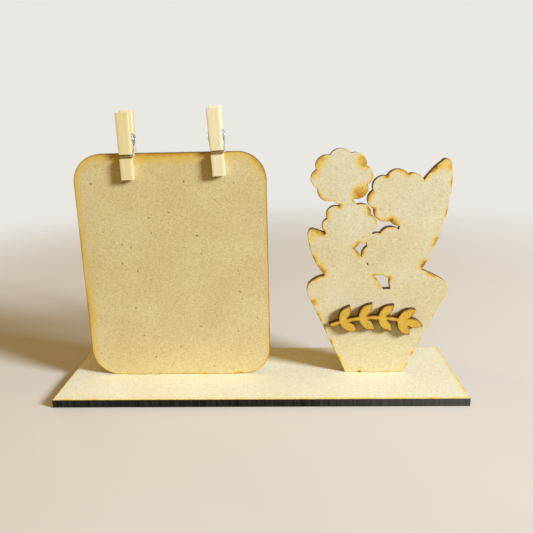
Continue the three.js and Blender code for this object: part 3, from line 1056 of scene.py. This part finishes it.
        here, inner = np.arange(count), np.arange(len(fill)) + count * len(rings)
        front = np.concatenate([here, inner])
        back = np.concatenate([here + count * (len(rings) - 1), inner + len(fill)])
        quads = np.vstack([
            np.stack([here, here + count, following + count, following], axis=1) + ring * count
            for ring in range(len(rings) - 1)
        ])
        height = [top - depth for _, depth, _ in rings]
        height += [np.full(len(fill), level) for level in (top, top - thick)]
        solid = self.axes.solid(np.vstack([*flats, fill, fill]), np.concatenate(height))
        mesh = bpy.data.meshes.new(self.node)
        mesh.from_pydata(
            solid.tolist(), [],
            quads.tolist() + front[triangles].tolist() + back[triangles[:, ::-1]].tolist(),
        )
        mesh.polygons.foreach_set("use_smooth", np.arange(len(mesh.polygons)) < len(quads))
        mesh.set_sharp_from_angle(angle=math.radians(self.sharp_deg))
        if self.scorch:
            self.paint(mesh, outlines, fill, stria, np.array([share for _, _, share in rings]))
        return mesh

    def paint(
        self, mesh: Mesh, outlines: Outlines, fill: np.ndarray, stria: np.ndarray, shares: np.ndarray
    ) -> None:
        """Writes the attributes that the finish reads.

        Args:
            mesh: The sheet's mesh.
            outlines: The sheet's outlines.
            fill: Points inside the face, in mm.
            stria: The depth of the laser's lines at the rim.
            shares: Each ring's share of wall.
        """
        shown = np.vstack([outlines.rim, fill])
        front, back = (
            self.scorch.tint(shown, outlines, self.seed + self.back_shift * side) for side in (0, 1)
        )
        count, half, bare = len(outlines.rim), len(shares) // 2, np.zeros(2 * len(fill))
        edge = [(front if ring <= half else back)[:count] for ring in range(len(shares))]
        for name, values in (
            ("scorch", [*edge, front[count:], back[count:]]),
            ("wall", [np.repeat(shares**self.wall_fade, count), bare]),
            ("stria", [np.tile(stria, len(shares)), bare]),
        ):
            mesh.attributes.new(name, "FLOAT", "POINT").data.foreach_set(
                "value", np.concatenate(values).astype(np.float32)
            )

    def build(self, name: str, body: str, slot: str, material: Material) -> Piece:
        """Makes the piece, dresses it and puts it in its node's place.

        Args:
            name: The piece's name.
            body: The body that it moves with.
            slot: The record's material slot; not used.
            material: Its finish.

        Returns:
            The piece.
        """
        mesh = self.mesh()
        mesh.materials.append(material)
        piece = add_piece(name, mesh)
        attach(piece, body)
        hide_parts(self.node)
        return piece


@dataclass(frozen=True)
class BasePlate:
    """The flat plate that everything stands on, slotted for the two upright panels."""

    sheet: CutSheet = CutSheet(
        node="base_plate", axes=LYING, arris_mm=0.2, outline_step_mm=0.35, fill_step_mm=1.2,
        stria_mm=0.06, seed=11,
        scorch=Scorch(
            left_mm=0.9, right_mm=1.6, top_mm=0.8, bottom_mm=1.7, glow=0.42, line=0.24, line_mm=0.5,
            patchy=0.3,
        ),
    )
    # The base's tones are paler than the board's, though both are one fibreboard: painted light, for the
    # overhead light and sheen on its top.
    finish: Fibreboard = Fibreboard(
        name="fibreboard_base", face="#f7f6db", deep="#f2eed0", fibre_pale="#fcfcef",
        fibre_dark="#ded2a8", fleck="#917a49", gold="#f3d970", amber="#d6a238", brown="#7a5220",
        wall="#0a0b0a", wall_pale="#5f625c", grain=0.95, fleck_share=0.3, wall_roughness=0.42,
        # char_painted_sheen is a painted highlight that pales the front wall's char towards the right.
        gloss=0.15, char_drift=0.35, char_lines=0.22, char_painted_sheen=0.58,
    )

    def build(self) -> Piece:
        """Builds and dresses the plate."""
        return self.sheet.build("base_sheet", "stand", "base_fibreboard", self.finish.material())


# Heat marks along the board's cuts, given one by one: across, up, reach, strength and depth.
BOARD_MARKS = tuple(ScorchMark(*mark) for mark in (
    (-48.0, 118.5, 34.0, 0.3, 4.6), (-74.0, 117.5, 7.0, 0.34, 1.0), (-60.0, 118.5, 5.0, 0.34, 0.9),
    (-38.0, 118.5, 12.0, 0.36, 0.9), (-22.0, 118.5, 5.0, 0.34, 0.9), (2.0, 113.0, 6.0, 0.4, 3.0),
    (-88.0, 74.0, 10.0, 0.28, 2.5), (-88.0, 44.0, 14.0, 0.28, 4.0), (-11.0, 4.5, 1.8, 0.6),
))


@dataclass(frozen=True)
class MemoBoard:
    """The upright rounded board that notes hang on."""

    sheet: CutSheet = CutSheet(
        node="memo_board", axes=UPRIGHT, arris_mm=0.18, outline_step_mm=0.45, fill_step_mm=0.9,
        stria_mm=0.05, seed=23,
        scorch=Scorch(
            left_mm=2.2, right_mm=1.1, top_mm=2.8, bottom_mm=0.9, glow=0.48, line=0.55, line_mm=0.4,
            patch_mm=14.0, patchy=0.3, marks=BOARD_MARKS,
        ),
    )
    finish: Fibreboard = Fibreboard(
        name="fibreboard_board", face="#e1d299", deep="#d6c388", fibre_pale="#eae0b4",
        fibre_dark="#c3a86e", fleck="#54401c", gold="#dfbf58", amber="#be8c22", brown="#74450f",
        wall="#3d2813", wall_pale="#54391b", grain=0.7, singe=0.35,
    )

    def build(self) -> Piece:
        """Builds and dresses the board."""
        return self.sheet.build("board_sheet", "stand", "board_fibreboard", self.finish.material())


# Heat marks along the pot panel's cuts, in the same order of values.
POT_MARKS = tuple(ScorchMark(*mark) for mark in (
    # Top flower
    (50.0, 97.5, 4.7, 0.66, 9.0), (50.5, 112.5, 3.9, 0.6, 5.0), (31.0, 113.0, 3.6, 0.62, 3.4),
    (29.0, 107.0, 3.2, 0.5, 2.6), (31.0, 97.0, 3.0, 0.6, 1.2), (36.0, 94.0, 2.5, 0.5, 0.9),
    (55.0, 105.5, 2.4, 0.5, 1.2),
    # Middle flower
    (41.0, 91.5, 2.4, 0.85, 1.4), (34.5, 87.0, 2.6, 0.65, 1.4), (54.5, 89.0, 2.8, 0.75, 2.2),
    (57.5, 84.0, 2.2, 0.6, 1.2),
    # Right flower
    (55.5, 96.0, 3.0, 0.65, 2.0), (58.0, 89.5, 2.4, 0.65, 1.6), (66.0, 84.0, 3.5, 0.9, 3.0),
    (61.0, 85.5, 2.2, 0.6, 1.6), (62.5, 104.0, 2.2, 0.85, 1.4), (70.0, 107.0, 3.4, 0.8, 1.7),
    # Tall right leaf and the low one beside it
    (91.0, 111.0, 4.6, 0.46, 4.4), (86.0, 107.5, 3.4, 0.8, 1.8), (82.0, 103.5, 2.4, 0.7, 1.2),
    (92.5, 101.5, 2.0, 0.6, 1.0), (90.5, 88.0, 2.4, 0.55, 1.0), (86.5, 73.5, 2.8, 0.75, 2.2),
    (81.5, 62.0, 3.2, 0.8, 2.5), (86.0, 56.0, 4.0, 0.65, 1.5),
    # Low flower and the gaps beside it
    (66.5, 55.5, 2.2, 0.8, 1.6), (57.5, 55.5, 2.6, 0.7, 1.6), (52.5, 68.5, 2.2, 0.7, 1.5),
    (48.8, 73.0, 2.6, 0.65, 1.9), (48.2, 66.5, 2.4, 0.65, 1.8), (59.5, 50.5, 2.4, 0.4, 2.0),
    # Tall left leaf and the low one beside it
    (29.0, 77.5, 3.8, 0.7, 2.6), (32.0, 78.5, 1.6, 0.85, 1.6), (29.0, 66.0, 2.8, 0.7, 2.0),
    (32.0, 60.0, 3.6, 0.8, 2.6), (30.0, 55.5, 3.4, 0.6, 1.0),
    # Pot: its left side, foot and right side
    (28.5, 43.0, 2.4, 0.75, 3.0), (31.0, 35.0, 3.2, 0.75, 1.4), (37.5, 22.0, 2.2, 0.7, 1.2),
    (42.0, 12.5, 2.2, 0.7, 1.2), (45.0, 6.0, 1.6, 0.6, 1.0), (52.0, 4.2, 2.4, 0.75, 1.2),
    (72.0, 4.2, 1.8, 0.7, 1.0), (77.5, 15.0, 2.0, 0.75, 1.5), (74.5, 8.0, 1.6, 0.55, 1.0),
))


@dataclass(frozen=True)
class FlowerPot:
    """The cut-out panel of a pot with flowers and leaves, and the raised sprig on the pot's front."""

    panel: CutSheet = CutSheet(
        node="flower_pot", axes=UPRIGHT, arris_mm=0.16, outline_step_mm=0.35, fill_step_mm=0.7,
        stria_mm=0.05, seed=37,
        scorch=Scorch(
            left_mm=0.8, right_mm=0.7, top_mm=0.6, bottom_mm=0.7, glow=0.5, line=0.45, patch_mm=5.0,
            marks=POT_MARKS,
        ),
    )
    panel_finish: Fibreboard = Fibreboard(
        name="fibreboard_pot", face="#e7e1bf", deep="#dfd0a0", fibre_pale="#ece9ce",
        fibre_dark="#c9b989", fleck="#8a7343", gold="#eacb63", amber="#c79426", brown="#84500f",
        wall="#4f3112", wall_pale="#69451a", grain=0.6, fleck_share=0.45, gloss=0.2, drift=0.3,
        drift_from_mm=76.0,
    )
    sprig: CutSheet = CutSheet(
        node="pot_sprig", axes=UPRIGHT, arris_mm=0.16, outline_step_mm=0.3, fill_step_mm=0.5,
        stria_mm=0.04, seed=41,
        scorch=Scorch(
            left_mm=0.7, right_mm=0.6, top_mm=0.6, bottom_mm=0.7, glow=0.75, line=0.85, line_mm=0.5,
            patch_mm=3.0, patchy=0.35,
        ),
    )
    sprig_finish: Fibreboard = Fibreboard(
        name="fibreboard_sprig", face="#dfba42", deep="#d2a638", fibre_pale="#e8c857",
        fibre_dark="#b18828", fleck="#6d4b18", gold="#d0a136", amber="#a56d1c", brown="#5a3510",
        wall="#40240d", wall_pale="#663f18", grain=0.6,
    )

    def build(self) -> list[Piece]:
        """Builds and dresses the panel and its sprig.

        Returns:
            The two pieces.
        """
        return [
            self.panel.build("pot_sheet", "stand", "pot_fibreboard", self.panel_finish.material()),
            self.sprig.build("sprig_sheet", "stand", "sprig_fibreboard", self.sprig_finish.material()),
        ]


class Side(Enum):
    """Which of the two pegs."""

    LEFT = "left"
    RIGHT = "right"


class Leg(Enum):
    """Which leg of a peg, with the ending of the body that it moves with."""

    FRONT = "_jaw"
    REAR = ""


@dataclass(frozen=True)
class SpringWire:
    """The bent wire of a peg's spring, in the peg's own axes from the coil's middle."""

    wire_mm: float = 0.8
    coil_mm: float = 4.2
    whole_turns: int = 7
    arm_side_mm: float = 3.65
    groove_mm: float = 4.2
    arm_drop_mm: float = 8.2
    cross_end_mm: float = 2.7
    bend_mm: float = 0.9
    steps_per_turn: int = 24
    bend_steps: int = 7
    sides: int = 14

    def path(self) -> tuple[np.ndarray, np.ndarray]:
        """Draws the wire's middle line, from the front cross wire through the coil to the rear one.

        Returns:
            Points in mm, and at each its share of painted groove shade.
        """
        radius = (self.coil_mm - self.wire_mm) / 2
        groove = math.hypot(self.groove_mm, self.arm_drop_mm)
        leave = math.atan2(-self.arm_drop_mm, -self.groove_mm) + math.acos(radius / groove)
        sweep = math.pi - 2 * leave + 2 * math.pi * self.whole_turns
        count = round(self.steps_per_turn * sweep / (2 * math.pi))
        share = np.arange(count + 1) / count
        angle = leave + sweep * share
        coil = np.stack([
            self.arm_side_mm * (1 - 2 * share), radius * np.cos(angle), radius * np.sin(angle)
        ], axis=1)
        elbow = np.array([self.arm_side_mm, -self.groove_mm, -self.arm_drop_mm])
        along = coil[0] - elbow
        bend_in = elbow - np.array([self.bend_mm, 0.0, 0.0])
        bend_out = elbow + along / np.linalg.norm(along) * self.bend_mm
        t = (np.arange(self.bend_steps + 1) / self.bend_steps)[:, None]
        bend = (1 - t) ** 2 * bend_in + 2 * t * (1 - t) * elbow + t**2 * bend_out
        end = np.array([[-self.cross_end_mm, -self.groove_mm, -self.arm_drop_mm]])
        front = np.vstack([end, bend])
        rear = front[::-1] * np.array([-1.0, -1.0, 1.0])
        # The cross wires in the grooves take painted shade, which fades out over the bend.
        groove_shaded = np.concatenate([[1.0], 1.0 - t[:, 0]])
        groove_shaded = np.concatenate([groove_shaded, np.zeros(len(coil)), groove_shaded[::-1]])
        return np.vstack([front, coil, rear]), groove_shaded

    def tree(self) -> tuple[bpy.types.GeometryNodeTree, dict[str, str]]:
        """Builds the node tree that draws round wire along a path.

        Returns:
            The tree, and its inputs' names with their identifiers.
        """
        tree = bpy.data.node_groups.new("wire_along_path", "GeometryNodeTree")
        named = {}
        for name, kind in (
            ("Path", "NodeSocketGeometry"), ("Wire Radius", "NodeSocketFloat"),
            ("Wire Sides", "NodeSocketInt"), ("Finish", "NodeSocketMaterial"),
        ):
            socket = tree.interface.new_socket(name, in_out="INPUT", socket_type=kind)
            named[name] = socket.identifier
        tree.interface.new_socket("Wire", in_out="OUTPUT", socket_type="NodeSocketGeometry")
        given = add_node(tree, "NodeGroupInput").outputs
        path = add_node(tree, "GeometryNodeMeshToCurve", {"Mesh": given["Path"]})
        ring = add_node(tree, "GeometryNodeCurvePrimitiveCircle", {
            "Resolution": given["Wire Sides"], "Radius": given["Wire Radius"],
        })
        wire = add_node(tree, "GeometryNodeCurveToMesh", {
            "Curve": path, "Profile Curve": ring, "Fill Caps": True,
        })
        for kind in ("GeometryNodeSetShadeSmooth", "GeometryNodeRealizeInstances"):
            wire = add_node(tree, kind, {"Geometry": wire})
        wire = add_node(tree, "GeometryNodeSetMaterial", {
            "Geometry": wire, "Material": given["Finish"],
        })
        add_node(tree, "NodeGroupOutput", {"Wire": wire})
        return tree, named

    def build(self, name: str, axes: SheetAxes, middle: Vector, material: Material) -> Piece:
        """Draws the wire at a peg.

        Args:
            name: The piece's name.
            axes: The peg's axes, with out along the coil.
            middle: The coil's middle, in metres.
            material: The wire's finish.

        Returns:
            The spring as a plain mesh.
        """
        line, groove_shaded = self.path()
        points = axes.solid(line[:, 1:], line[:, 0]) + np.array(middle)
        mesh = bpy.data.meshes.new(name + "_path")
        mesh.from_pydata(points.tolist(), [(at, at + 1) for at in range(len(points) - 1)], [])
        mesh.attributes.new("groove_shaded", "FLOAT", "POINT").data.foreach_set("value", groove_shaded)
        drawn = add_piece(name + "_path", mesh)
        tree, named = self.tree()
        modifier = drawn.modifiers.new("wire", "NODES")
        modifier.node_group = tree
        modifier[named["Wire Radius"]] = self.wire_mm / 2 * MM
        modifier[named["Wire Sides"]] = self.sides
        modifier[named["Finish"]] = material
        ready = drawn.evaluated_get(bpy.context.evaluated_depsgraph_get())
        plain = bpy.data.meshes.new_from_object(ready)
        plain.name = name
        drawn.modifiers.remove(modifier)
        bpy.data.objects.remove(drawn)
        bpy.data.meshes.remove(mesh)
        return add_piece(name, plain)


@dataclass(frozen=True)
class SpringPeg:
    """A small sprung peg: two birch legs that pivot on a wire coil."""

    side: Side
    front: BirchTone
    rear: BirchTone
    wire: SpringWire = SpringWire()
    arris_mm: float = 0.22
    outline_step_mm: float = 0.4
    fill_step_mm: float = 1.0
    blend_from_mm: float = 2.0
    blend_to_mm: float = -4.0

    def build(self, zinc: Material) -> list[Piece]:
        """Builds the legs and the spring, and puts the legs on their bodies.

        Args:
            zinc: The wire's finish.

        Returns:
            The peg's three pieces.
        """
        side = self.side.value
        hinge = next(joint for joint in frame["joints"] if joint["name"] == f"{side}_peg_open")
        middle, along = Vector(hinge["pos_m"]), -Vector(hinge["axis"]).normalized()
        back = Vector((0, 1, 0))
        axes = SheetAxes.facing(back, along.cross(back))
        lean = math.atan2(-along.z, along.x)
        pieces = []
        for leg, tone in ((Leg.FRONT, self.front), (Leg.REAR, self.rear)):
            place = leg.name.lower()
            birch = Birch(f"planed_birch_{side}_{place}", tone, middle, lean).material()
            sheet = CutSheet(
                node=f"{side}_peg_{place}_leg", axes=axes, arris_mm=self.arris_mm,
                outline_step_mm=self.outline_step_mm, fill_step_mm=self.fill_step_mm,
            )
            body = f"{side}_peg{leg.value}"
            pieces.append(sheet.build(f"{side}_{place}_birch_leg", body, "peg_birch", birch))
        spring = self.wire.build(f"{side}_spring_wire", axes, middle, zinc)
        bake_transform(spring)
        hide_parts(f"{side}_peg_spring")
        return [*pieces, spring]


PEGS = (
    SpringPeg(
        Side.LEFT,
        front=BirchTone("#f2e4af", "#e8d79d", "#cfb579", "#d3b678", "#b7a77e"),
        rear=BirchTone("#f0e6b6", "#e6daa4", "#ccb47d", "#d3bb80", "#b7a77e"),
    ),
    SpringPeg(
        Side.RIGHT,
        front=BirchTone("#f6eec5", "#eee2b0", "#d8c28c", "#d8c08b", "#b8ae8a"),
        rear=BirchTone("#f6f0d0", "#ede4bc", "#d5c193", "#dac592", "#b8ae8a"),
    ),
)


def write_sizes() -> None:
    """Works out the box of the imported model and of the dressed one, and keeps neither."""
    boxes = {"cad": CAD_BOX, "visual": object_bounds()}
    {name: [list(corner) for corner in box] for name, box in boxes.items()}


def main() -> None:
    """Builds the camera, the studio and every piece of the memo holder, and reports the pieces."""
    logging.basicConfig(level=logging.INFO, format="%(name)s: %(message)s")
    PhotoCamera().build()
    Studio().build()
    pieces = [BasePlate().build(), MemoBoard().build(), *FlowerPot().build()]
    zinc = ZincWire().material()
    for peg in PEGS:
        pieces += peg.build(zinc)
    for piece in pieces:
        LOG.info("%s: %d faces", piece.name, len(piece.data.polygons))
    write_sizes()


if __name__ == "__main__":
    main()
